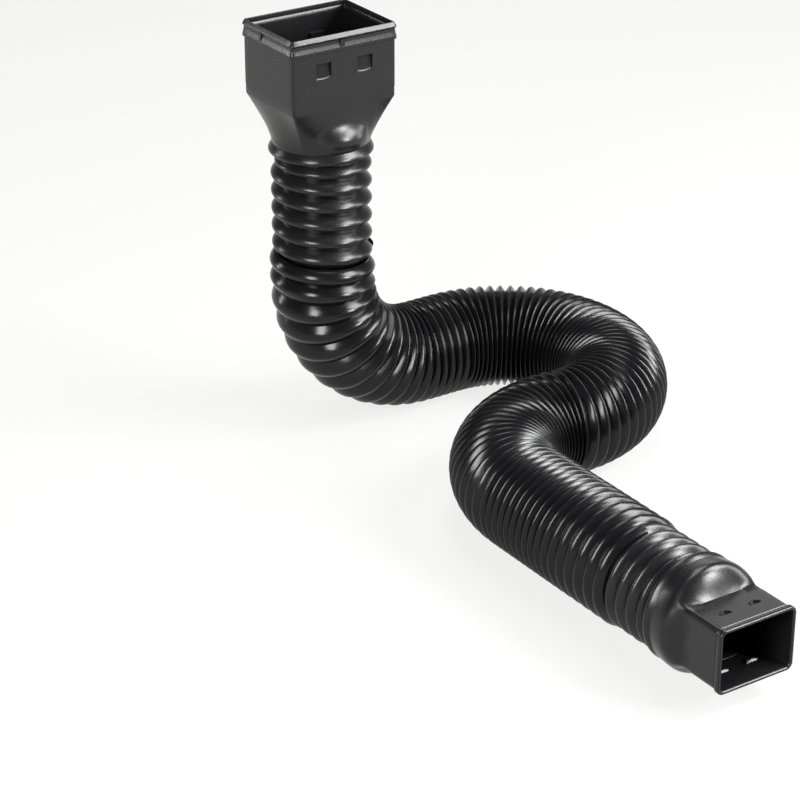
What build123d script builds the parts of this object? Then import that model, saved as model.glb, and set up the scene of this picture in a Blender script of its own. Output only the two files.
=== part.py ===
"""Flexible downspout extension: a corrugated hose with a screw-in adapter at each end.

The hose is one helical bellows. It stands up under the inlet adapter, bends down to the ground,
makes an S along the ground and ends in a straight run that carries the outlet adapter.
All lengths are in millimetres and all angles in degrees.
"""
import math
import os

from build123d import *

# Sides of the round sections, an even number on the hose and a multiple of four on the adapters
hose_sides = 16
neck_sides = 16

# Hose wall and corrugation
hose_crest_radius = 52.0
corrugation_depth = 6.0
hose_wall = 1.2
middle_pitch = 9.1

# Pitch of the two screw threads, and how far the hose is drawn out beside them
inlet_pitch = 18.0
inlet_drawn_length = 119.0
inlet_closing_length = 90.0
outlet_pitch = 14.0
outlet_drawn_length = 37.0
outlet_closing_length = 65.0

# Route of the hose from its upper mouth to its lower mouth
riser_length = 39.8
riser_bend_radius = 108.0
first_run = 40.0
first_turn = 187.0
first_turn_radius = 108.0
second_turn_radius = 105.0
last_run = 179.0
outlet_heading = 90.0

# Direction of the tip of the hose's upper mouth, counted from the +X side
mouth_angle = -18.0

# Screw fit of the adapters in the hose
thread_clearance = 1.7
engaged_turns = 1.25
adapter_wall = 1.8

# Plain bead between the thread and the dome of both adapters
bead_height = 14.4
bead_crest_radius = 51.0

# Inlet adapter, the wide socket for the downspout
inlet_thread_turns = 5.0
inlet_dome_height = 46.3
inlet_width = 114.0
inlet_depth = 88.0
inlet_box_height = 72.5
inlet_corner_radius = 2.0
inlet_rib_from_rim = 4.0
inlet_rib_spacing = 9.5
inlet_pocket_width = 16.0
inlet_pocket_height = 16.5
inlet_pocket_from_rim = 34.5
inlet_pocket_spacing = 45.6
inlet_pocket_recess = 4.0

# Outlet adapter, the narrow end
outlet_thread_turns = 3.5625
outlet_dome_height = 31.7
outlet_width = 78.0
outlet_depth = 58.0
outlet_box_height = 48.0
outlet_corner_radius = 5.0
outlet_lip_height = 6.0
outlet_pocket_width = 11.0
outlet_pocket_height = 9.0
outlet_pocket_from_rim = 26.0
outlet_pocket_spacing = 31.2
outlet_pocket_recess = 2.0

# Rims of both adapters
rib_half_height = 2.5
rib_stand = 1.8
band_stand = 0.4
inlet_lip_chamfer = 2.4

# Domes: how far their sides swell out, and how late their sections turn rectangular
dome_radius = 49.5
dome_swell = 1.2
dome_rings = (0.15, 0.35, 0.6, 0.85)

# Worked out from the sizes above
hose_side_angle = math.radians(360) / hose_sides
neck_side_angle = math.radians(360) / neck_sides
second_turn = first_turn - outlet_heading
neck_crest_radius = hose_crest_radius - hose_wall - thread_clearance
neck_root_radius = neck_crest_radius - corrugation_depth
mouth_height = hose_crest_radius + riser_bend_radius + riser_length
hose_runs = [
    ("ahead", None, riser_length),
    ("up", riser_bend_radius, riser_bend_radius * math.radians(90)),
    ("ahead", None, first_run),
    ("right", first_turn_radius, first_turn_radius * math.radians(first_turn)),
    ("left", second_turn_radius, second_turn_radius * math.radians(second_turn)),
    ("ahead", None, last_run),
]
hose_length = sum(length for _, _, length in hose_runs)


def walk(station, toward, radius, length):
    """Move a station of the hose ahead, straight or on an arc, and turn its directions with it."""
    centre, ahead, up, right = station
    if toward == "ahead":
        return centre + ahead * length, ahead, up, right
    inward = {"up": up, "right": right, "left": -right}[toward]
    turn = length / radius
    centre = centre + ahead * (radius * math.sin(turn)) + inward * (radius * (1 - math.cos(turn)))
    new_inward = inward * math.cos(turn) - ahead * math.sin(turn)
    new_ahead = ahead * math.cos(turn) + inward * math.sin(turn)
    if toward == "up":
        return centre, new_ahead, new_inward, right
    if toward == "right":
        return centre, new_ahead, up, new_inward
    return centre, new_ahead, up, -new_inward


def station_at(length):
    """Centre and directions of the hose at a length from its upper mouth."""
    station = (Vector(0, 0, mouth_height), Vector(0, 0, -1), Vector(1, 0, 0), Vector(0, -1, 0))
    for toward, radius, run in hose_runs[:-1]:
        if length <= run:
            return walk(station, toward, radius, length)
        station = walk(station, toward, radius, run)
        length -= run
    return walk(station, *hose_runs[-1][:2], length)


def pitch_at(length):
    """The corrugation is drawn out beside both mouths and closed up between them."""
    past_inlet = (length - inlet_drawn_length) / inlet_closing_length
    before_outlet = (hose_length - outlet_drawn_length - length) / outlet_closing_length
    inlet_share = 1 - min(max(past_inlet, 0), 1)
    outlet_share = 1 - min(max(before_outlet, 0), 1)
    drawn_at_inlet = (inlet_pitch - middle_pitch) * inlet_share
    drawn_at_outlet = (outlet_pitch - middle_pitch) * outlet_share
    return middle_pitch + drawn_at_inlet + drawn_at_outlet


def corrugation_steps():
    """Lengths along the hose where the helix has turned by one more side."""
    steps = [0.0]
    while steps[-1] < hose_length:
        middle = steps[-1] + pitch_at(steps[-1]) / hose_sides / 2
        steps.append(steps[-1] + pitch_at(middle) / hose_sides)
    stretch = hose_length / steps[-1]
    return [step * stretch for step in steps], stretch


def strip(edge, other):
    """Flat three-sided faces between two lines of points, which may share their first point."""
    faces = []
    for index in range(len(edge) - 1):
        near, far = edge[index], edge[index + 1]
        other_near, other_far = other[index], other[index + 1]
        faces.append(Face(Wire.make_polygon([near, far, other_far])))
        if (near - other_near).length > 1e-6:
            faces.append(Face(Wire.make_polygon([near, other_far, other_near])))
    return faces


def closed_solid(faces):
    """Join faces that meet along their edges to one solid."""
    return Solid(Shell(faces))


def hose_point(length, side_number, radius):
    """A point of the hose's skin, on the side with this number counted along the helix."""
    centre, _, up, right = station_at(length)
    angle = math.radians(mouth_angle) + hose_side_angle * side_number
    return centre + up * (radius * math.cos(angle)) - right * (radius * math.sin(angle))


def hose_skin(steps, crest_radius):
    """Root line and crest line of one skin of the bellows."""
    last = len(steps) - 1
    half = hose_sides // 2
    root_radius = crest_radius - corrugation_depth
    root = [hose_point(steps[n], n, root_radius) for n in range(last + 1)]
    crest = [hose_point(steps[n + half], n, crest_radius) for n in range(last - hose_sides + 1)]
    return root, crest


def thread_faces(outer, inner, sides):
    """Walls of a helical corrugation between an outer and an inner skin, without its end edges."""
    faces = []
    for root, crest in (outer, inner):
        faces += strip(root[: len(crest)], crest)
        faces += strip(crest, root[sides:])
    return faces


def mouth_edge(outer, inner, start, sides):
    """Narrow helical edge of a mouth, one turn long, and the step where it meets itself."""
    turn = slice(start, start + sides + 1)
    step = [[root[start], crest[start], root[start + sides]] for root, crest in (outer, inner)]
    return strip(outer[0][turn], inner[0][turn]) + strip(*step)


def make_hose():
    """One helical bellows with a thin wall and a helical mouth at each end."""
    steps, _ = corrugation_steps()
    outer = hose_skin(steps, hose_crest_radius)
    inner = hose_skin(steps, hose_crest_radius - hose_wall)
    last_band = len(outer[1]) - 1
    faces = thread_faces(outer, inner, hose_sides)
    for start in (0, last_band):
        faces += mouth_edge(outer, inner, start, hose_sides)
    return closed_solid(faces)


def neck_point(radius, side_number, height):
    """A point on a round section of an adapter, counted in sides from its +X side."""
    angle = neck_side_angle * side_number
    return Vector(radius * math.cos(angle), radius * math.sin(angle), height)


def round_ring(radius, height):
    """A round section of an adapter, from the +X side and back to it."""
    return [neck_point(radius, n, height) for n in range(neck_sides + 1)]


def box_ring(width, depth, corner, height):
    """A rectangular section with round corners, with one point for each side of the round one."""
    quarter = neck_sides // 4
    ring = []
    for number in range(neck_sides + 1):
        turn, step = divmod(number, quarter)
        step = quarter - step if turn % 2 else step
        arc = math.radians(90) * (step - 1) / (quarter - 2)
        x = width / 2 - corner + corner * math.cos(arc)
        y = depth / 2 - corner + corner * math.sin(arc)
        if step == 0:
            x, y = width / 2, 0
        if step == quarter:
            x, y = 0, depth / 2
        x_side = -1 if turn in (1, 2) else 1
        y_side = -1 if turn in (2, 3) else 1
        ring.append(Vector(x * x_side, y * y_side, height))
    return ring


def blend_rings(low, high, share, inset):
    """A section of the dome between a round and a rectangular one."""
    shape_share = share**dome_swell
    ring = []
    for a, b in zip(low, high):
        middle_radius = (math.hypot(a.X, a.Y) + math.hypot(b.X, b.Y)) / 2
        bulge = max(dome_radius - inset - middle_radius, 0) * math.sin(math.pi * share)
        outward = Vector(a.X, a.Y, 0).normalized()
        flat = Vector(a.X + (b.X - a.X) * shape_share, a.Y + (b.Y - a.Y) * shape_share, 0)
        ring.append(flat + outward * bulge + Vector(0, 0, a.Z + (b.Z - a.Z) * share))
    return ring


def thread_start(spec):
    """Number of the side at which a thread begins, and its height above the hose's tip there."""
    start = round(spec["tip_angle"] / neck_side_angle - neck_sides * spec["turns"])
    return start, spec["pitch"] * (spec["tip_angle"] / neck_side_angle - start) / neck_sides


def neck_skin(spec, inset):
    """Root line and crest line of an adapter's thread, which grows out of its flat top circle."""
    start, top = thread_start(spec)
    last = round(neck_sides * (spec["turns"] + engaged_turns + 1))
    root_radius = neck_root_radius - inset
    drops = [max(n - neck_sides, 0) * spec["pitch"] / neck_sides for n in range(last + 1)]
    root = [neck_point(root_radius, start + n, top - drops[n]) for n in range(last + 1)]
    crest = []
    for n in range(last - neck_sides + 1):
        height = top - (drops[n] + drops[n + neck_sides]) / 2
        radius = root_radius + corrugation_depth * min(n / neck_sides, 1)
        crest.append(neck_point(radius, start + n, height))
    return root, crest


def body_rings(spec, inset):
    """Sections of an adapter above its thread: bead, dome and rectangular box with its rim."""
    thread_top = thread_start(spec)[1]
    dome_foot = thread_top + bead_height
    box_foot = dome_foot + spec["dome_height"]
    root_radius = neck_root_radius - inset
    bead = round_ring(bead_crest_radius - inset, thread_top + bead_height / 2)
    neck = round_ring(root_radius, dome_foot)
    walls = []
    for height, stand in spec["rim_profile"]:
        grow = 2 * (stand - inset)
        width, depth = spec["width"] + grow, spec["depth"] + grow
        corner = max(spec["corner"] + stand - inset, 0.5)
        walls.append(box_ring(width, depth, corner, box_foot + height))
    dome = [blend_rings(neck, walls[0], share, inset) for share in dome_rings]
    return [round_ring(root_radius, thread_top), bead, neck] + dome + walls


def place_pocket(shape, spec, x_side, y_side):
    """Put a pocket's shape on the front or back face of an adapter's box."""
    rim_height = thread_start(spec)[1] + bead_height + spec["dome_height"] + spec["box_height"]
    pocket_height = rim_height - spec["pocket_from_rim"]
    turned = shape if y_side > 0 else Rot(0, 0, 180) * shape
    return Pos(x_side * spec["pocket_spacing"] / 2, y_side * spec["depth"] / 2, pocket_height) * turned


def pocket_hollow(spec):
    """A square dent with a flat top and a floor that sweeps out to the face at its foot."""
    half = spec["pocket_height"] / 2
    outside = adapter_wall
    recess = spec["pocket_recess"]
    eighth = recess * math.sin(math.radians(45))
    deep, foot = (0, -recess, recess - half), (0, 0, -half)
    outline = [
        ThreePointArc(deep, (0, -eighth, recess - eighth - half), foot),
        Polyline(foot, (0, outside, -half), (0, outside, half), (0, -recess, half), deep),
    ]
    return extrude(make_face(outline), amount=spec["pocket_width"] / 2, both=True)


def pocket_back(spec):
    """The inside of the same dent, one wall thicker all round."""
    depth = spec["pocket_recess"] + adapter_wall / 2
    width = spec["pocket_width"] + 2 * adapter_wall
    height = spec["pocket_height"] + 2 * adapter_wall
    return Pos(0, -adapter_wall / 2 - depth / 2, 0) * Box(width, depth, height)


def make_adapter(spec):
    """One moulded adapter, with its neck's tip at height zero and its mouth upwards."""
    outer = neck_skin(spec, 0)
    inner = neck_skin(spec, adapter_wall)
    last_band = len(outer[1]) - 1
    faces = thread_faces(outer, inner, neck_sides)
    faces += mouth_edge(outer, inner, last_band, neck_sides)
    outer_rings = body_rings(spec, 0)
    inner_rings = body_rings(spec, adapter_wall)
    for rings in (outer_rings, inner_rings):
        for low, high in zip(rings, rings[1:]):
            faces += strip(low, high)
    faces += strip(outer_rings[-1], inner_rings[-1])
    adapter = closed_solid(faces).clean()
    for x_side in (-1, 1):
        for y_side in (-1, 1):
            adapter += place_pocket(pocket_back(spec), spec, x_side, y_side)
            adapter -= place_pocket(pocket_hollow(spec), spec, x_side, y_side)
    return adapter


def inlet_spec(stretch):
    """Sizes of the inlet adapter, with a rim of two ribs and a band between them."""
    high_rib = inlet_box_height - inlet_rib_from_rim
    low_rib = high_rib - inlet_rib_spacing
    return {
        "pitch": inlet_pitch * stretch,
        "turns": inlet_thread_turns,
        "tip_angle": math.radians(mouth_angle),
        "dome_height": inlet_dome_height,
        "width": inlet_width,
        "depth": inlet_depth,
        "box_height": inlet_box_height,
        "corner": inlet_corner_radius,
        "rim_profile": [
            (0, 0),
            (low_rib - rib_half_height, 0),
            (low_rib, rib_stand),
            (low_rib + rib_half_height, band_stand),
            (high_rib - rib_half_height, band_stand),
            (high_rib, rib_stand),
            (inlet_box_height, rib_stand - inlet_lip_chamfer),
        ],
        "pocket_recess": inlet_pocket_recess,
        "pocket_width": inlet_pocket_width,
        "pocket_height": inlet_pocket_height,
        "pocket_from_rim": inlet_pocket_from_rim,
        "pocket_spacing": inlet_pocket_spacing,
    }


def outlet_spec(stretch, turned):
    """Sizes of the outlet adapter, with one lip round its mouth."""
    return {
        "pitch": outlet_pitch * stretch,
        "turns": outlet_thread_turns,
        "tip_angle": math.radians(90 - mouth_angle) - turned,
        "dome_height": outlet_dome_height,
        "width": outlet_width,
        "depth": outlet_depth,
        "box_height": outlet_box_height,
        "corner": outlet_corner_radius,
        "rim_profile": [
            (0, 0),
            (outlet_box_height - outlet_lip_height, 0),
            (outlet_box_height - outlet_lip_height + rib_half_height, rib_stand),
            (outlet_box_height, rib_stand),
        ],
        "pocket_recess": outlet_pocket_recess,
        "pocket_width": outlet_pocket_width,
        "pocket_height": outlet_pocket_height,
        "pocket_from_rim": outlet_pocket_from_rim,
        "pocket_spacing": outlet_pocket_spacing,
    }


def make_parts():
    """All three pieces where they sit, with the upper mouth's axis on the Z axis."""
    steps, stretch = corrugation_steps()
    turned = hose_side_angle * (len(steps) - 1)
    outlet_end, ahead, _, right = station_at(hose_length)
    inlet_place = Location(Plane((0, 0, mouth_height), x_dir=(1, 0, 0), z_dir=(0, 0, 1)))
    outlet_place = Location(Plane(outlet_end, x_dir=-right, z_dir=ahead))
    return {
        "inlet_adapter": inlet_place * make_adapter(inlet_spec(stretch)),
        "flexible_hose": make_hose(),
        "outlet_adapter": outlet_place * make_adapter(outlet_spec(stretch, turned)),
    }


def centre_on_ground(parts):
    """Move the whole object so that the origin is below its middle, on the ground."""
    box = Compound(list(parts.values())).bounding_box()
    shift = Pos(-(box.min.X + box.max.X) / 2, -(box.min.Y + box.max.Y) / 2, -box.min.Z)
    return {name: shift * shape for name, shape in parts.items()}, shift


os.makedirs("parts", exist_ok=True)
placed, shift = centre_on_ground(make_parts())
for name, shape in placed.items():
    export_step(shape, f"parts/{name}.step")
    print(name, "volume", round(shape.volume), "solids", len(shape.solids()))
print("origin moved by", shift.position)
print("hose length", round(hose_length, 1), "sides", len(corrugation_steps()[0]) - 1)
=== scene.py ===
import math

import bmesh
import bpy
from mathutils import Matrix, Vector


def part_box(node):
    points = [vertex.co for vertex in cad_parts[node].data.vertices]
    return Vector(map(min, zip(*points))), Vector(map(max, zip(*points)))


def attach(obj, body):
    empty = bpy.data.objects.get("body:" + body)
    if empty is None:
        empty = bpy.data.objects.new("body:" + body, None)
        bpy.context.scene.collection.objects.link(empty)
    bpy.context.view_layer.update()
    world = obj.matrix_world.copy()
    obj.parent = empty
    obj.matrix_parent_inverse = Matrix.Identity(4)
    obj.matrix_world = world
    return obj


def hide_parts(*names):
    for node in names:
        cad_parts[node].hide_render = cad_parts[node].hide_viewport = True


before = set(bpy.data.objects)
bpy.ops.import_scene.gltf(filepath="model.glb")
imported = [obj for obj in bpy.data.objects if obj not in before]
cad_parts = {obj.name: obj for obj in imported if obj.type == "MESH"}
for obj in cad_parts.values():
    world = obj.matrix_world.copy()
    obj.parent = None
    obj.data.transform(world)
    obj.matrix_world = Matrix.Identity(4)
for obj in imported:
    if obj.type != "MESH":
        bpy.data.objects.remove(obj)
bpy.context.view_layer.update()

scene = bpy.context.scene


# The hose is one thin blown bellows of black polyethylene. Its fold is a single left-hand helix
# that runs from mouth to mouth, drawn out beside the two adapters and closed up in the bends.
# It is made by Geometry Nodes from the stations of its route, one station for each step of the helix.
inlet_low, inlet_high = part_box("inlet_adapter")
outlet_low, outlet_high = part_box("outlet_adapter")
hose_low, hose_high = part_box("flexible_hose")
riser_x = (inlet_low.x + inlet_high.x) / 2
riser_y = (inlet_low.y + inlet_high.y) / 2
hose_crest_radius = (outlet_low.z + outlet_high.z) / 2
hose_fold_depth = 0.006
hose_wall = 0.0012
hose_sharp_angle = 50
hose_points_per_turn = 48
hose_points_per_fold = 10
hose_crest_crowding = 1.6
hose_start_angle = math.radians(-18)
riser_length, first_run, last_run = 0.0398, 0.040, 0.179
riser_bend_radius, first_turn_radius, second_turn_radius = 0.108, 0.108, 0.105
hose_runs = [
    ("ahead", None, riser_length),
    ("up", riser_bend_radius, riser_bend_radius * math.radians(90)),
    ("ahead", None, first_run),
    ("right", first_turn_radius, first_turn_radius * math.radians(187)),
    ("left", second_turn_radius, second_turn_radius * math.radians(97)),
    ("ahead", None, last_run),
]
hose_length = sum(run[2] for run in hose_runs)
inlet_pitch, outlet_pitch, closed_pitch = 0.018, 0.014, 0.0091
inlet_drawn_length, inlet_closing_length = 0.119, 0.090
outlet_drawn_length, outlet_closing_length = 0.037, 0.065
closed_roundness, roundness_gain = 0.26, 0.34
weld_gap = 0.00001


def go_along(station, toward, radius, length):
    """The next station of the hose, straight ahead or round a bend."""
    centre, ahead, up, right = station
    if toward == "ahead":
        return centre + ahead * length, ahead, up, right
    inward = {"up": up, "right": right, "left": -right}[toward]
    turn = length / radius
    centre = centre + ahead * (radius * math.sin(turn)) + inward * (radius * (1 - math.cos(turn)))
    new_inward = inward * math.cos(turn) - ahead * math.sin(turn)
    new_ahead = ahead * math.cos(turn) + inward * math.sin(turn)
    if toward == "up":
        return centre, new_ahead, new_inward, right
    return centre, new_ahead, up, new_inward if toward == "right" else -new_inward


def hose_station(length):
    """Centre, heading, up and right of the hose at a length from its upper mouth."""
    mouth = Vector((riser_x, riser_y, hose_high.z))
    station = mouth, Vector((0, 0, -1)), Vector((1, 0, 0)), Vector((0, -1, 0))
    for toward, radius, run in hose_runs[:-1]:
        if length <= run:
            return go_along(station, toward, radius, length)
        station = go_along(station, toward, radius, run)
        length -= run
    return go_along(station, *hose_runs[-1][:2], length)


def fold_pitch(length):
    """The fold is drawn out near both mouths and closed up between them."""
    at_inlet = 1 - min(max((length - inlet_drawn_length) / inlet_closing_length, 0), 1)
    at_outlet = 1 - min(max((hose_length - outlet_drawn_length - length) / outlet_closing_length, 0), 1)
    drawn = (inlet_pitch - closed_pitch) * at_inlet
    return closed_pitch + drawn + (outlet_pitch - closed_pitch) * at_outlet


def hose_route():
    """A mesh of loose points, one for each step of the helix, with the hose's directions on it.

    Where the fold is drawn out its crest opens to a rounder shape, which the points carry too."""
    lengths = [0.0]
    while lengths[-1] < hose_length:
        middle = lengths[-1] + fold_pitch(lengths[-1]) / hose_points_per_turn / 2
        lengths.append(lengths[-1] + fold_pitch(middle) / hose_points_per_turn)
    stretch = hose_length / lengths[-1]
    stations = [hose_station(length * stretch) for length in lengths]
    mesh = bpy.data.meshes.new("hose_route")
    mesh.from_pydata([station[0] for station in stations], [], [])
    for name, which, sign in (("up", 2, 1), ("across", 3, -1)):
        layer = mesh.attributes.new(name, "FLOAT_VECTOR", "POINT")
        for value, station in zip(layer.data, stations):
            value.vector = station[which] * sign
    opened = mesh.attributes.new("roundness", "FLOAT", "POINT")
    for value, length in zip(opened.data, lengths):
        drawn = (fold_pitch(length) - closed_pitch) / (inlet_pitch - closed_pitch)
        value.value = closed_roundness + roundness_gain * drawn
    return mesh


class Wire:
    """An output socket that takes part in sums like a number and adds the Math nodes itself."""

    def __init__(self, bench, socket):
        self.bench = bench
        self.socket = socket

    def out(self, name):
        """Another output of the same node."""
        return Wire(self.bench, self.socket.node.outputs[name])

    def math(self, operation, *values):
        return self.bench.add("ShaderNodeMath", {"operation": operation}, dict(enumerate(values)))

    def __add__(self, other):
        return self.math("ADD", self, other)

    def __radd__(self, other):
        return self.math("ADD", other, self)

    def __sub__(self, other):
        return self.math("SUBTRACT", self, other)

    def __rsub__(self, other):
        return self.math("SUBTRACT", other, self)

    def __mul__(self, other):
        return self.math("MULTIPLY", self, other)

    def __rmul__(self, other):
        return self.math("MULTIPLY", other, self)

    def __truediv__(self, other):
        return self.math("DIVIDE", self, other)

    def __rtruediv__(self, other):
        return self.math("DIVIDE", other, self)

    def __pow__(self, other):
        return self.math("POWER", self, other)


class Bench:
    """A node tree and the one method that puts a node on it."""

    def __init__(self, tree):
        self.tree = tree
        tree.nodes.clear()

    def add(self, kind, settings=None, values=None, output=0):
        """Puts one node on the tree, with its settings first and then its sockets' values or wires."""
        node = self.tree.nodes.new(kind)
        for name, setting in (settings or {}).items():
            setattr(node, name, setting)
        for key, value in (values or {}).items():
            if isinstance(value, Wire):
                self.tree.links.new(value.socket, node.inputs[key])
            else:
                node.inputs[key].default_value = value
        return Wire(self, node.outputs[output]) if len(node.outputs) else node


def bellows_tree():
    """Geometry Nodes that lay a helical fold along a route of stations."""
    tree = bpy.data.node_groups.new("helical bellows", "GeometryNodeTree")
    bench = Bench(tree)
    face = tree.interface
    face.new_socket("Geometry", in_out="OUTPUT", socket_type="NodeSocketGeometry")
    face.new_socket("Stations", in_out="INPUT", socket_type="NodeSocketGeometry")
    for name, kind in (
        ("Crest Radius", "Float"),
        ("Fold Depth", "Float"),
        ("Wall", "Float"),
        ("Start Angle", "Float"),
        ("Crest Crowding", "Float"),
        ("Points per Turn", "Int"),
        ("Points per Fold", "Int"),
        ("Station Count", "Int"),
        ("Plastic", "Material"),
    ):
        face.new_socket(name, in_out="INPUT", socket_type="NodeSocket" + kind)
    given = bench.add("NodeGroupInput")
    route, crest, depth, wall = (given.out(n) for n in ("Stations", "Crest Radius", "Fold Depth", "Wall"))
    counts = ("Points per Turn", "Points per Fold", "Station Count")
    per_turn, per_fold, count = (given.out(n) for n in counts)
    index = bench.add("GeometryNodeInputIndex")
    centre = bench.add("GeometryNodeInputPosition")

    def carried(name, kind="FLOAT_VECTOR"):
        """A value that the stations carry."""
        return bench.add("GeometryNodeInputNamedAttribute", {"data_type": kind}, {"Name": name})

    up, across, roundness = carried("up"), carried("across"), carried("roundness", "FLOAT")

    def at_station(field, station, kind="FLOAT_VECTOR"):
        """A field of the route, read at a station's number."""
        settings = {"data_type": kind, "domain": "POINT"}
        values = {"Geometry": route, "Value": field, "Index": station}
        return bench.add("GeometryNodeSampleIndex", settings, values)

    def scaled(vector, by):
        return bench.add("ShaderNodeVectorMath", {"operation": "SCALE"}, {0: vector, "Scale": by})

    def joined(one, other):
        return bench.add("ShaderNodeVectorMath", {"operation": "ADD"}, {0: one, 1: other})

    def sheet(columns, rows, along, over, inset, flipped=False):
        """A grid wrapped along the helix, over its fold, at a depth below the outer skin.

        Rows of points crowd together at the fold's crest, which is as round as a hyperbola's."""
        grid = bench.add("GeometryNodeMeshGrid", None, {"Vertices X": columns, "Vertices Y": rows})
        column = index.math("FLOOR", index / rows + 0.001)
        row = index - column * rows
        step, sunk = along(column, row), inset(column, row)
        side = over(column, row) / per_fold * 2 - 1
        crowded = index.math("SIGN", side) * index.math("ABSOLUTE", side) ** given.out("Crest Crowding")
        half_turn = per_turn / 2
        fold = index.math("ROUND", crowded * half_turn) + half_turn
        station = step + fold
        angle = given.out("Start Angle") + step * (math.tau / per_turn)
        off_crest = index.math("ABSOLUTE", fold / half_turn - 1)
        tip = at_station(roundness, station, "FLOAT")
        slope = (off_crest * off_crest + tip * tip) ** 0.5 - tip
        fall = slope / ((tip * tip + 1) ** 0.5 - tip)
        radius = crest - depth * fall - sunk
        spoke = joined(
            scaled(at_station(up, station), radius * index.math("COSINE", angle)),
            scaled(at_station(across, station), radius * index.math("SINE", angle)),
        )
        spot = joined(at_station(centre, station), spoke)
        placed = bench.add("GeometryNodeSetPosition", None, {"Geometry": grid, "Position": spot})
        return bench.add("GeometryNodeFlipFaces", None, {"Mesh": placed}) if flipped else placed

    bands = count - per_turn
    last_band = bands - 1
    # outer skin, inner skin, the two mouths, and the two cut ends of the helix
    sheets = [
        sheet(bands, per_fold + 1, lambda c, r: c, lambda c, r: r, lambda c, r: 0),
        sheet(bands, per_fold + 1, lambda c, r: c, lambda c, r: r, lambda c, r: wall, True),
        sheet(per_turn + 1, 2, lambda c, r: c, lambda c, r: r * 0, lambda c, r: r * wall, True),
        sheet(per_turn + 1, 2, lambda c, r: last_band + c, lambda c, r: r * 0, lambda c, r: r * wall),
        sheet(per_fold + 1, 2, lambda c, r: c * 0, lambda c, r: c, lambda c, r: r * wall),
        sheet(per_fold + 1, 2, lambda c, r: last_band + c * 0, lambda c, r: c, lambda c, r: r * wall, True),
    ]
    whole = bench.add("GeometryNodeJoinGeometry")
    for one in sheets:
        tree.links.new(one.socket, whole.socket.node.inputs[0])
    welded = bench.add("GeometryNodeMergeByDistance", None, {"Geometry": whole, "Distance": weld_gap})
    real = bench.add("GeometryNodeRealizeInstances", None, {"Geometry": welded})
    plastic = given.out("Plastic")
    dressed = bench.add("GeometryNodeSetMaterial", None, {"Geometry": real, "Material": plastic})
    bench.add("NodeGroupOutput", None, {0: dressed})
    return tree


def black_plastic(name, tint, gloss, smooth, rough, grain, pocket_painted_shade=None):
    """Glossy black moulded plastic: cloudy gloss, dust, fine upright scratches and a soft skin.

    The backs of pockets can get painted shade, a rougher finish that reflects far less, given as their
    middle, their distance aside and half sizes."""
    material = bpy.data.materials.new(name)
    material.use_nodes = True
    bench = Bench(material.node_tree)
    here = bench.add("ShaderNodeTexCoord", output="Object")

    def noise(where, scale, detail, harshness=0.5):
        values = {"Vector": where, "Scale": scale, "Detail": detail, "Roughness": harshness}
        return bench.add("ShaderNodeTexNoise", None, values)

    cloud = noise(here, 14.0, 4.0, 0.6)
    skin = noise(here, grain, 3.0, 0.55)
    dust = noise(here, 260.0, 2.0, 0.7)
    stretched = bench.add("ShaderNodeMapping", None, {"Vector": here, "Scale": (30.0, 30.0, 620.0)})
    scratch = noise(stretched, 1.0, 2.0)
    worn = bench.add("ShaderNodeMapRange", None, {0: scratch, 1: 0.62, 2: 0.78, 3: 0.0, 4: 1.0})
    specks = bench.add("ShaderNodeMapRange", None, {0: dust, 1: 0.60, 2: 0.80, 3: 0.0, 4: 1.0})
    lighter = tuple(c * 2.1 + 0.004 for c in tint)
    colour = bench.add(
        "ShaderNodeMix",
        {"data_type": "RGBA"},
        {0: cloud * 0.45 + specks * 0.25, 6: (*tint, 1), 7: (*lighter, 1)},
        output=2,
    )
    dullness = smooth + (rough - smooth) * cloud + worn * 0.06 + specks * 0.08
    relief = skin * 0.7 + cloud * 0.3 + worn * 0.2
    bump = bench.add("ShaderNodeBump", None, {"Strength": 0.12, "Distance": 0.0006, "Height": relief})
    finish = {"Base Color": colour, "Roughness": dullness, "Normal": bump}
    finish |= {"IOR": 1.5, "Specular IOR Level": gloss}
    shader = bench.add("ShaderNodeBsdfPrincipled", None, finish)
    # Painted shade: inside the pockets' box the finish turns rougher and reflects far less, which darkens
    # their backs as shade in a recess would.
    if pocket_painted_shade:
        middle, aside, half = pocket_painted_shade
        place = bench.add("ShaderNodeSeparateXYZ", None, {0: here})
        off_x, off_y, off_z = (place.math("ABSOLUTE", place.out(n) - m) for n, m in zip("XYZ", middle))
        offs = (place.math("ABSOLUTE", off_x - aside), off_y, off_z)
        within = [place.math("LESS_THAN", off, limit) for off, limit in zip(offs, half)]
        pocket_shade_finish = finish | {"Roughness": dullness + 0.22, "Specular IOR Level": 0.08}
        pocket_shade_bsdf = bench.add("ShaderNodeBsdfPrincipled", None, pocket_shade_finish)
        pocket_shade_mask = within[0] * within[1] * within[2]
        shader = bench.add("ShaderNodeMixShader", None, {0: pocket_shade_mask, 1: shader, 2: pocket_shade_bsdf})
    bench.add("ShaderNodeOutputMaterial", None, {0: shader})
    return material


def made_mesh(thing, keep_name):
    """The evaluated object as a plain mesh in a new object, without its modifiers."""
    graph = bpy.context.evaluated_depsgraph_get()
    mesh = bpy.data.meshes.new_from_object(thing.evaluated_get(graph))
    mesh.name = keep_name
    finished = bpy.data.objects.new(keep_name, mesh)
    scene.collection.objects.link(finished)
    bpy.data.objects.remove(thing)
    return finished


def dress(piece, sharp_angle):
    """Turns every face of a closed piece outwards, and shades it smooth up to its creases."""
    work = bmesh.new()
    work.from_mesh(piece.data)
    bmesh.ops.recalc_face_normals(work, faces=work.faces)
    work.to_mesh(piece.data)
    work.free()
    piece.data.shade_smooth()
    piece.data.set_sharp_from_angle(angle=math.radians(sharp_angle))


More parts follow.
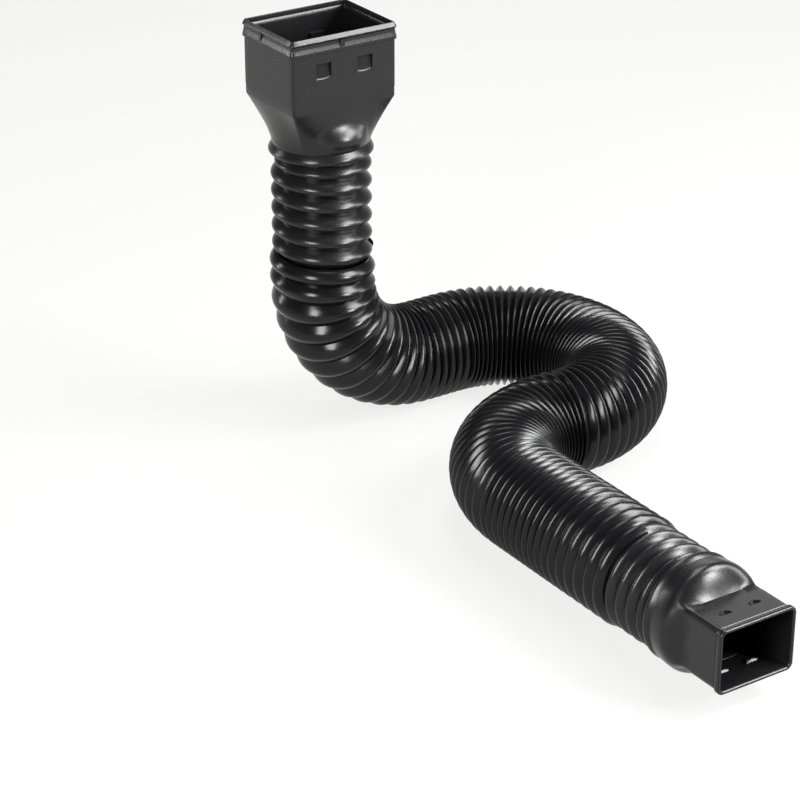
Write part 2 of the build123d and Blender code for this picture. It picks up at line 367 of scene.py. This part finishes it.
hose_black = (0.003, 0.003, 0.0034)
hose_plastic = black_plastic("hose black polyethylene", hose_black, 0.25, 0.16, 0.25, 90.0)
route_points = hose_route()
hose_builder = bpy.data.objects.new("hose_builder", route_points)
scene.collection.objects.link(hose_builder)
laying = hose_builder.modifiers.new("bellows", "NODES")
laying.node_group = bellows_tree()
for name, value in (
    ("Crest Radius", hose_crest_radius),
    ("Fold Depth", hose_fold_depth),
    ("Wall", hose_wall),
    ("Start Angle", hose_start_angle),
    ("Crest Crowding", hose_crest_crowding),
    ("Points per Turn", hose_points_per_turn),
    ("Points per Fold", hose_points_per_fold),
    ("Station Count", len(route_points.vertices)),
    ("Plastic", hose_plastic),
):
    sockets = laying.node_group.interface.items_tree
    laying[next(s.identifier for s in sockets if s.name == name)] = value
hose = made_mesh(hose_builder, "hose_bellows")
dress(hose, hose_sharp_angle)
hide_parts("flexible_hose")
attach(hose, "hose")


# The inlet adapter is one injection moulded piece of black plastic. A rectangular socket with two
# ribs round its rim and four dented pockets runs down through a dome into a bead and a rolled
# thread, which screws into the drawn out end of the hose.
adapter_wall = 0.0018
adapter_sharp_angle = 40
neck_crest_radius = 0.0491
neck_depth = 0.0075
neck_crest_roundness = 0.40
neck_root_radius = neck_crest_radius - neck_depth
bead_height = 0.0144
bead_crest_radius = 0.051
dome_foot_radius = 0.0470
dome_radius = 0.0515
dome_swell = 1.2
dome_steps = 18
side_crown_step = 0.0035
crease = 0.0003
engaged_turns = 1.25
box_foot_blend, box_foot_end = 0.0090, 0.0093
bead_shares = (0, 0.06, 0.15, 0.25, 0.35, 0.43, 0.5, 0.57, 0.65, 0.75, 0.85, 0.94, 1)
thread_shares = (0, 0.08, 0.2, 0.32, 0.42, 0.5, 0.58, 0.68, 0.8, 0.92, 1)
inlet_box_height, inlet_dome_height = 0.0725, 0.0463
inlet_pocket_at, inlet_pocket_aside = -0.0345, 0.0228
inlet_pocket_width, inlet_pocket_height, inlet_pocket_bevel = 0.016, 0.0165, 0.0014
inlet_pocket_middle = (riser_x, riser_y, inlet_high.z + inlet_pocket_at)
# The backs of the inlet's pockets get painted shade, a rougher and far less reflective finish.
inlet_pocket_painted_shade = inlet_pocket_middle, inlet_pocket_aside, (0.0081, 0.0424, 0.0084)
adapter_black = (0.005, 0.005, 0.0055)
adapter_plastic = black_plastic(
    "adapter black moulding", adapter_black, 0.32, 0.22, 0.31, 60.0, inlet_pocket_painted_shade
)


def full_outline(width, depth, corner, pocket_at, pocket_width):
    """The whole rectangle from its +X side and once round, four corners alike."""
    half_x, half_y = width / 2 - corner, depth / 2 - corner
    left, right = pocket_at - pocket_width / 2, pocket_at + pocket_width / 2
    edge, outside, inside = 0.0003, 0.0012, 0.0013
    wide = [0, left * 0.3, left * 0.62, left - outside, left - edge, left + edge, left + inside]
    wide += [pocket_at - pocket_width * 0.25, pocket_at, pocket_at + pocket_width * 0.25]
    wide += [right - inside, right - edge, right + edge, right + outside]
    wide += [right + (half_x - right) * share for share in (0.3, 0.55, 0.8)]
    tall = [half_y * share for share in (0, 0.17, 0.34, 0.5, 0.66, 0.82)]
    quarter = [(Vector((width / 2, y)), Vector((1, 0))) for y in tall]
    for step in range(7):
        out = Vector((math.cos(math.radians(15 * step)), math.sin(math.radians(15 * step))))
        quarter.append((Vector((half_x, half_y)) + out * corner, out))
    quarter += [(Vector((x, depth / 2)), Vector((0, 1))) for x in reversed(wide)]
    flip_x = [(Vector((-p.x, p.y)), Vector((-n.x, n.y))) for p, n in reversed(quarter[:-1])]
    top = quarter + flip_x
    bottom = [(Vector((p.x, -p.y)), Vector((n.x, -n.y))) for p, n in reversed(top[1:-1])]
    return top + bottom


def pocket_place(across, height, spec):
    """A point of the wide face seen from a pocket: half widths beside it, heights above its foot."""
    beside = abs(abs(across) - spec["pocket_at"]) / (spec["pocket_width"] / 2)
    above = (height - spec["pocket_height_at"]) / spec["pocket_height"] + 0.5
    return beside, above


def pocket_arch(across, height, spec):
    """How far points near a pocket's foot rise beside its middle, so that the foot is an arc."""
    beside, above = pocket_place(across, height, spec)
    near = max(1 - above if above > 0 else 1 + 2 * above, 0)
    return spec["pocket_sag"] * near * min(beside, 1) ** 2 * max(1 - max(beside - 1, 0) / 0.5, 0)


def pocket_dent(across, height, spec, depths):
    """How far a point is pressed in by a pocket: a bevelled foot, then a ramp between square sides."""
    beside, above = pocket_place(across, height, spec)
    if beside > 1 or above <= 0 or above > 1:
        return 0.0
    bevel = spec["pocket_bevel"] / spec["pocket_height"]
    if above < bevel:
        return depths[0] * above / bevel
    end = min((1 - above) * spec["pocket_height"] / depths[2], 1)
    return (depths[0] + (depths[1] - depths[0]) * (above - bevel) / (1 - bevel)) * end


def dome_bell(share, spec):
    """How far the dome stands out between its foot and the box, from nothing to 1."""
    width = spec["dome_widths"][0 if share < spec["dome_peak"] else 1]
    return math.exp(-(((share - spec["dome_peak"]) / width) ** 2)) * (1 - share**6)


def fold_height(share, tip):
    """Height of a fold between its two valleys, pointed where tip is small, round where it is large."""
    off_crest = abs(2 * share - 1)
    return 1 - (math.hypot(off_crest, tip) - tip) / (math.hypot(1, tip) - tip)


def adapter_skin(spec, inset):
    """One skin of an adapter as rings of points, from its thread's tip to its rim."""
    outline_sizes = ("width", "depth", "corner", "pocket_at", "pocket_width")
    outline = full_outline(*(spec[size] for size in outline_sizes))
    angles = [math.atan2(p.y, p.x) % math.tau for p, _ in outline]
    foot = dome_foot_radius - inset
    depths = spec["pocket_depths_inside" if inset else "pocket_depths"]
    thread_top = spec["thread_top"]
    rings = []
    for share in bead_shares:
        valley = neck_root_radius if share < 0.5 else dome_foot_radius
        radius = valley + (bead_crest_radius - valley) * fold_height(share, neck_crest_roundness) - inset
        height = thread_top + bead_height * share
        rings.append([Vector((radius * math.cos(a), radius * math.sin(a), height)) for a in angles])
    dome_foot = thread_top + bead_height
    box_foot = dome_foot + spec["dome_height"]
    for step in range(1, dome_steps + 1):
        share = step / dome_steps
        ring = []
        for (p, n), a in zip(outline, angles):
            wall = p - n * (inset + crease)
            outward = Vector((math.cos(a), math.sin(a)))
            past_face = wall.length + inset - spec["depth"] / 2
            faced = min(max(1 - past_face / spec["dome_reach"], 0), 1)
            spot = (outward * (foot - spec["dome_waist"] * faced)).lerp(wall, share**dome_swell)
            crown = dome_radius - side_crown_step * (1 - faced) - inset
            spot += outward * (max(crown - spot.length, 0) * dome_bell(share, spec))
            ring.append(Vector((spot.x, spot.y, dome_foot + spec["dome_height"] * share)))
        rings.append(ring)
    rim = box_foot + spec["box_height"]
    for height, stand in spec["rim_inside"] if inset else spec["rim_outside"]:
        ring = []
        for p, n in outline:
            on_wide_face = abs(n.y) == 1
            dent = pocket_dent(p.x, rim + height, spec, depths) if on_wide_face else 0
            rise = pocket_arch(p.x, rim + height, spec) if on_wide_face else 0
            spot = p + n * (stand - inset - dent)
            ring.append(Vector((spot.x, spot.y, rim + height + rise)))
        rings.append(ring)
    return rings, angles


def thread_skin(spec, angles, inset):
    """The rolled thread below the bead, as rows of points from one helical root line to the next."""
    per_turn = len(angles)
    turns = engaged_turns + spec["thread_top"] / spec["pitch"]
    begin = spec["thread_angle"] % math.tau
    first = min(range(per_turn), key=lambda i: abs((angles[i] - begin + math.pi) % math.tau - math.pi))
    begin += math.tau * round((angles[first] - begin) / math.tau)
    last = round(per_turn * (turns + 1))
    turned = []
    for n in range(first, first + last + 1):
        turned.append(angles[n % per_turn] + math.tau * (n // per_turn) - begin)
    roots = [spec["thread_top"] - max(angle - math.tau, 0) / math.tau * spec["pitch"] for angle in turned]
    columns = []
    for n in range(last - per_turn + 1):
        angle = turned[n] + begin
        grown = neck_depth * min(max(turned[n] - turned[0], 0) / math.tau, 1)
        column = []
        for share in thread_shares:
            radius = neck_root_radius - inset + grown * fold_height(share, neck_crest_roundness)
            height = roots[n] + (roots[n + per_turn] - roots[n]) * share
            column.append(Vector((radius * math.cos(angle), radius * math.sin(angle), height)))
        columns.append(column)
    return columns


def adapter_mesh(name, spec, place):
    """Both skins of an adapter with its rim and its thread's end closed, as one welded mesh."""
    points, faces = [], []

    def put_rows(rows, closed):
        """Quads between rows of points, each row a ring or open."""
        start, wide = len(points), len(rows[0])
        points.extend(place(p) for row in rows for p in row)
        for r in range(len(rows) - 1):
            low = start + r * wide
            high = low + wide
            for c in range(wide if closed else wide - 1):
                d = (c + 1) % wide
                faces.append([low + c, low + d, high + d, high + c])

    outer, angles = adapter_skin(spec, 0)
    inner, _ = adapter_skin(spec, adapter_wall)
    outer_thread = thread_skin(spec, angles, 0)
    inner_thread = thread_skin(spec, angles, adapter_wall)
    put_rows(outer, True)
    put_rows(inner, True)
    put_rows([outer[-1], inner[-1]], True)
    put_rows(outer_thread, False)
    put_rows(inner_thread, False)
    put_rows([outer_thread[-1], inner_thread[-1]], False)
    per_turn = len(angles)
    ends = [[column[-1] for column in thread[-per_turn - 1:]] for thread in (outer_thread, inner_thread)]
    put_rows(ends, False)
    mesh = bpy.data.meshes.new(name)
    mesh.from_pydata(points, [], faces)
    work = bmesh.new()
    work.from_mesh(mesh)
    bmesh.ops.remove_doubles(work, verts=work.verts, dist=0.00002)
    bmesh.ops.dissolve_degenerate(work, edges=work.edges, dist=0.000005)
    work.to_mesh(mesh)
    work.free()
    mesh.materials.append(adapter_plastic)
    piece = bpy.data.objects.new(name, mesh)
    scene.collection.objects.link(piece)
    return piece


def box_levels(box_height, pocket_at, pocket_height, bevel):
    """Heights below the rim of the rows of points that a box face and its pockets' edges need."""
    foot, top = pocket_at - pocket_height / 2, pocket_at + pocket_height / 2
    rows = [(-box_height + box_foot_blend, -crease), (-box_height + box_foot_end, 0.0)]
    rows += [((foot - box_height + box_foot_end) / 2, 0.0)]
    edges = [foot + step for step in (-0.0012, -0.0002, 0.0, bevel / 2, bevel, bevel + 0.0004)]
    edges += [foot + pocket_height * share for share in (0.35, 0.65)]
    edges += [top - 0.0014, top - 0.0001, top + 0.0001, top + 0.0014]
    return rows + [(row, 0.0) for row in edges]


# Ribs and lips are rows of points, each a height below the rim and how far it stands out
inlet_rows = box_levels(inlet_box_height, inlet_pocket_at, inlet_pocket_height, inlet_pocket_bevel)
inlet_low_rib = [(-0.0168, 0.0), (-0.0164, 0.0012), (-0.0160, 0.0018), (-0.0140, 0.0018)]
inlet_low_rib += [(-0.0130, 0.0016), (-0.0100, 0.0008), (-0.0078, 0.0004)]
inlet_lip = [(-0.0062, 0.0004), (-0.0056, 0.0008), (-0.0048, 0.0016), (-0.0042, 0.0018)]
inlet_lip += [(-0.0036, 0.0016), (-0.0020, 0.0007), (-0.0006, -0.0001), (-0.0001, -0.0004), (0.0, -0.0008)]
inlet_lip_inside = [(-0.0100, 0.0), (-0.0054, 0.0), (-0.0048, 0.0005)]
inlet_lip_inside += [(-0.0012, 0.0004), (-0.0003, 0.0006), (0.0, 0.0010)]
inlet_thread_top = inlet_high.z - hose_high.z - inlet_box_height - inlet_dome_height - bead_height
inlet_size = {
    "width": 0.114,
    "depth": 0.088,
    "corner": 0.002,
    "box_height": inlet_box_height,
    "dome_height": inlet_dome_height,
    "thread_top": inlet_thread_top,
    "thread_angle": hose_start_angle - math.tau * inlet_thread_top / inlet_pitch,
    "pitch": inlet_pitch,
    "pocket_at": inlet_pocket_aside,
    "pocket_width": inlet_pocket_width,
    "pocket_height": inlet_pocket_height,
    "pocket_height_at": inlet_high.z - hose_high.z + inlet_pocket_at,
    "pocket_depths": (0.0014, 0.0036, 0.0001),
    "pocket_depths_inside": (0.0014, 0.0036, 0.0001),
    "pocket_bevel": inlet_pocket_bevel,
    "pocket_sag": 0.0012,
    "dome_peak": 0.24,
    "dome_widths": (0.29, 0.27),
    "dome_reach": 0.013,
    "dome_waist": 0.0045,
    "rim_outside": inlet_rows + inlet_low_rib + inlet_lip,
    "rim_inside": inlet_rows + inlet_lip_inside,
}
inlet_mouth = Vector((riser_x, riser_y, hose_high.z))
inlet = adapter_mesh("inlet_socket_and_neck", inlet_size, lambda p: p + inlet_mouth)
dress(inlet, adapter_sharp_angle)
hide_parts("inlet_adapter")
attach(inlet, "inlet")

# Small flat tabs bridge the two ribs of the inlet's rim in the middle of each side. They are moulded
# with the adapter, and mark where the plastic runs into the rim.
tab_width, tab_height, tab_stand, tab_root = 0.0048, 0.0074, 0.0017, 0.0008
tab_below_rim, tab_round = 0.0096, 0.0003
side_tab = inlet_size["width"] / 2, 0.011
front_tab = inlet_size["depth"] / 2, -0.003
tab_places = (1, 0, *side_tab), (-1, 0, side_tab[0], -side_tab[1]), (0, 1, *front_tab), (0, -1, *front_tab)
tab_work = bmesh.new()
for out_x, out_y, reach, aside in tab_places:
    thick = tab_stand + tab_root
    for corner in bmesh.ops.create_cube(tab_work, size=1.0)["verts"]:
        along, deep, high = corner.co.x * tab_width + aside, corner.co.y * thick, corner.co.z * tab_height
        out = reach + deep + thick / 2 - tab_root
        x, y = riser_x + out_x * out - out_y * along, riser_y + out_y * out + out_x * along
        corner.co = (x, y, high + inlet_high.z - tab_below_rim)
bmesh.ops.bevel(tab_work, geom=tab_work.edges, offset=tab_round, segments=2, affect="EDGES", profile=0.5)
tab_mesh = bpy.data.meshes.new("inlet_rim_tabs")
tab_work.to_mesh(tab_mesh)
tab_work.free()
tab_mesh.materials.append(adapter_plastic)
tabs = bpy.data.objects.new("inlet_rim_tabs", tab_mesh)
scene.collection.objects.link(tabs)
dress(tabs, adapter_sharp_angle)
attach(tabs, "inlet")


# The outlet adapter is moulded like the inlet one, with a smaller rectangular mouth that has one
# thick lip. Its thread screws into the lower end of the hose.
outlet_tip_y = hose_low.y
outlet_x = (outlet_low.x + outlet_high.x) / 2
outlet_z = (outlet_low.z + outlet_high.z) / 2
outlet_rim_at = outlet_tip_y - outlet_low.y
outlet_box_height, outlet_dome_height = 0.048, 0.0317
outlet_thread_top = outlet_rim_at - outlet_box_height - outlet_dome_height - bead_height
outlet_pocket_at, outlet_pocket_height, outlet_pocket_bevel = -0.026, 0.0065, 0.0005
outlet_rows = box_levels(outlet_box_height, outlet_pocket_at, outlet_pocket_height, outlet_pocket_bevel)
outlet_lip = [(-0.0084, 0.0), (-0.0079, -0.0005), (-0.0068, -0.0006), (-0.0062, 0.0003)]
outlet_lip += [(-0.0056, 0.0013), (-0.0050, 0.0017), (-0.0014, 0.0017), (-0.0006, 0.0014), (0.0, 0.0006)]
outlet_lip_inside = [(-0.0064, 0.0), (-0.0050, 0.0), (-0.0022, 0.0)]
outlet_lip_inside += [(-0.0010, 0.0003), (-0.0003, 0.0008), (0.0, 0.0014)]
outlet_turned = math.tau * (len(route_points.vertices) - 1) / hose_points_per_turn
outlet_first_angle = math.radians(90) - hose_start_angle - outlet_turned
outlet_size = {
    "width": 0.078,
    "depth": 0.058,
    "corner": 0.005,
    "box_height": outlet_box_height,
    "dome_height": outlet_dome_height,
    "thread_top": outlet_thread_top,
    "thread_angle": outlet_first_angle - math.tau * outlet_thread_top / outlet_pitch,
    "pitch": outlet_pitch,
    "pocket_at": 0.0156,
    "pocket_width": 0.012,
    "pocket_height": outlet_pocket_height,
    "pocket_height_at": outlet_rim_at + outlet_pocket_at,
    "pocket_depths": (0.0018, 0.0001, 0.0001),
    "pocket_depths_inside": (0.0020, 0.0020, 0.0014),
    "pocket_bevel": outlet_pocket_bevel,
    "pocket_sag": 0.0035,
    "dome_peak": 0.45,
    "dome_widths": (0.90, 0.45),
    "dome_reach": 1.0,
    "dome_waist": 0.0,
    "rim_outside": outlet_rows + outlet_lip,
    "rim_inside": outlet_rows + outlet_lip_inside,
}


def outlet_place(p):
    """A point of the upright adapter laid down along the hose's last run, mouth to the front."""
    return Vector((outlet_x + p.x, outlet_tip_y - p.z, outlet_z + p.y))


outlet = adapter_mesh("outlet_socket_and_neck", outlet_size, outlet_place)
dress(outlet, adapter_sharp_angle)
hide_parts("outlet_adapter")
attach(outlet, "outlet")


# The studio is a pale sheet of paper on the ground, nearly white to the camera and in mirrored light.
# Large soft boxes on both sides, behind and above draw the long highlights on the black plastic.
floor_size, floor_gap = 16, 0.0004
bpy.ops.mesh.primitive_plane_add(size=floor_size, location=(0, 0, -floor_gap))
floor = bpy.context.object
floor.name = "studio_floor"
floor_material = bpy.data.materials.new("studio paper")
floor_material.use_nodes = True
paper = Bench(floor_material.node_tree)
paper_place = paper.add("ShaderNodeTexCoord", output="Object")
fibre = paper.add("ShaderNodeTexNoise", None, {"Vector": paper_place, "Scale": 90.0, "Detail": 3.0})
paper_tone = paper.add(
    "ShaderNodeMix",
    {"data_type": "RGBA"},
    {0: fibre, 6: (0.10, 0.10, 0.098, 1), 7: (0.11, 0.11, 0.108, 1)},
    output=2,
)
paper_shade = paper.add("ShaderNodeBsdfDiffuse", None, {"Color": paper_tone})
paper_glow = paper.add("ShaderNodeEmission", None, {"Color": (0.79, 0.79, 0.777, 1), "Strength": 1.0})
paper_both = paper.add("ShaderNodeAddShader", None, {0: paper_shade, 1: paper_glow})
ray = paper.add("ShaderNodeLightPath")
mirrored = ray.math("MAXIMUM", ray.out("Is Glossy Ray"), ray.out("Is Transmission Ray"))
seen = ray.math("MAXIMUM", ray.out("Is Camera Ray"), mirrored)
paper_shader = paper.add("ShaderNodeMixShader", None, {0: seen, 1: paper_shade, 2: paper_both})
paper.add("ShaderNodeOutputMaterial", None, {0: paper_shader})
floor.data.materials.append(floor_material)

world = bpy.data.worlds.new("studio air")
scene.world = world
world.use_nodes = True
air = Bench(world.node_tree)
air_way = air.add("ShaderNodeTexCoord", output="Generated")
air_height = air.add("ShaderNodeSeparateXYZ", None, {0: air_way}, output="Z")
air_smooth = {"interpolation_type": "SMOOTHSTEP"}
air_climb = air.add("ShaderNodeMapRange", air_smooth, {0: air_height, 1: 0.0, 2: 0.45})
air_low = air.add("ShaderNodeBackground", None, {"Color": (1, 1, 1, 1), "Strength": 0.50})
air_high = air.add("ShaderNodeBackground", None, {"Color": (1, 1, 1, 1), "Strength": 0.06})
air_light = air.add("ShaderNodeMixShader", None, {0: air_climb, 1: air_low, 2: air_high})
air.add("ShaderNodeOutputWorld", None, {0: air_light})


def soft_box(name, place, target, size, power):
    """A rectangular soft light that faces the object."""
    lamp = bpy.data.lights.new(name, "AREA")
    lamp.shape, lamp.size, lamp.size_y, lamp.energy = "RECTANGLE", size[0], size[1], power
    holder = bpy.data.objects.new(name, lamp)
    holder.location = place
    holder.rotation_euler = (Vector(target) - Vector(place)).to_track_quat("-Z", "Y").to_euler()
    scene.collection.objects.link(holder)


soft_box("key softbox", (0.95, -0.80, 1.30), (0.0, 0.0, 0.15), (0.75, 0.75), 47)
soft_box("left strip", (-1.55, -0.75, 0.85), (-0.05, 0.1, 0.15), (0.48, 1.0), 38)
soft_box("right strip", (0.75, -1.50, 0.95), (-0.05, 0.1, 0.15), (0.40, 0.55), 34)
soft_box("right panel", (1.75, -0.65, 0.70), (-0.05, 0.0, 0.15), (0.45, 1.1), 16)
soft_box("back left strip", (-1.25, 1.55, 0.60), (-0.10, 0.2, 0.20), (0.14, 0.9), 7)
soft_box("back panel", (1.5, 2.4, 1.5), (0.0, 0.0, 0.15), (2.4, 1.1), 15)
soft_box("overhead panel", (0.25, 0.35, 1.9), (0.0, 0.0, 0.1), (0.8, 1.7), 26)


# The camera stands where the photograph's own perspective puts it, seen from the hose's riser.
# It looks down on the object from its left front, through a long lens.
camera_left, camera_front, camera_height = 1.2409, 2.0037, 1.1716
camera_down, camera_heading = 25.94, -33.62
camera_data = bpy.data.cameras.new("camera")
camera = bpy.data.objects.new("camera", camera_data)
scene.collection.objects.link(camera)
scene.camera = camera
camera_data.lens = 117.04
camera_data.sensor_width = 36
camera_data.clip_end = 50
camera.location = (riser_x - camera_left, riser_y - camera_front, camera_height)
camera.rotation_euler = (math.radians(90 - camera_down), 0, math.radians(camera_heading))

scene.view_settings.view_transform = "Standard"

bpy.context.view_layer.update()
